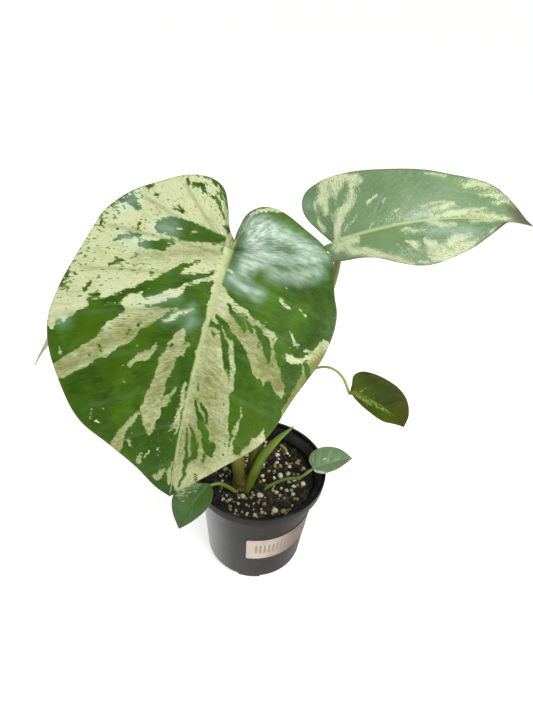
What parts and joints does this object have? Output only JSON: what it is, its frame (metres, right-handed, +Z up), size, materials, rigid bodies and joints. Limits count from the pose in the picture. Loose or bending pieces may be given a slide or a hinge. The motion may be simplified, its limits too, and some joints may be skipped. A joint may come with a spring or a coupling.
{
  "type": "potted variegated monstera",
  "caption": "Dark round nursery pot of mix with a young aroid: a big marbled heart-shaped leaf, smaller leaves on bare stalks and a rolled new leaf.",
  "frame": {"origin": "centre of the pot's base, on the surface it stands on", "axes": "+Z up, out of the pot; the large leaf hangs towards -Y and +X is on its viewer's right"},
  "size_m": [0.3308, 0.1556, 0.3353],
  "materials": {
    "pot_plastic": "satin moulded plastic, charcoal, lightly scuffed",
    "label_paper": "matt coated paper, pale, bare",
    "potting_mix": "damp crumbly mix with cream mineral grains",
    "crown_skin": "olive to brown stem skin, satin",
    "stalk_skin": "smooth green stalk, satin, browner low down",
    "leaf_marbled": "waxy leaf, green marbled with cream, satin sheen",
    "leaf_flecked": "waxy grey-green leaf with cream flecks, satin sheen",
    "leaf_small": "waxy green leaf with faint pale streaks, satin",
    "spear_skin": "smooth fresh green, satin"
  },
  "bodies": {
    "root": {"pot": "pot_plastic", "pot_label": "label_paper", "soil": "potting_mix", "crown": "crown_skin", "stalk_large": "stalk_skin", "leaf_large": "leaf_marbled", "stalk_upper": "stalk_skin", "leaf_upper": "leaf_flecked", "stalk_right": "stalk_skin", "leaf_right": "leaf_small", "stalk_left": "stalk_skin", "leaf_left": "leaf_flecked", "stalk_lower": "stalk_skin", "leaf_lower": "leaf_small", "stalk_side": "stalk_skin", "leaf_side": "leaf_small", "spear": "spear_skin"}
  },
  "joints": []
}
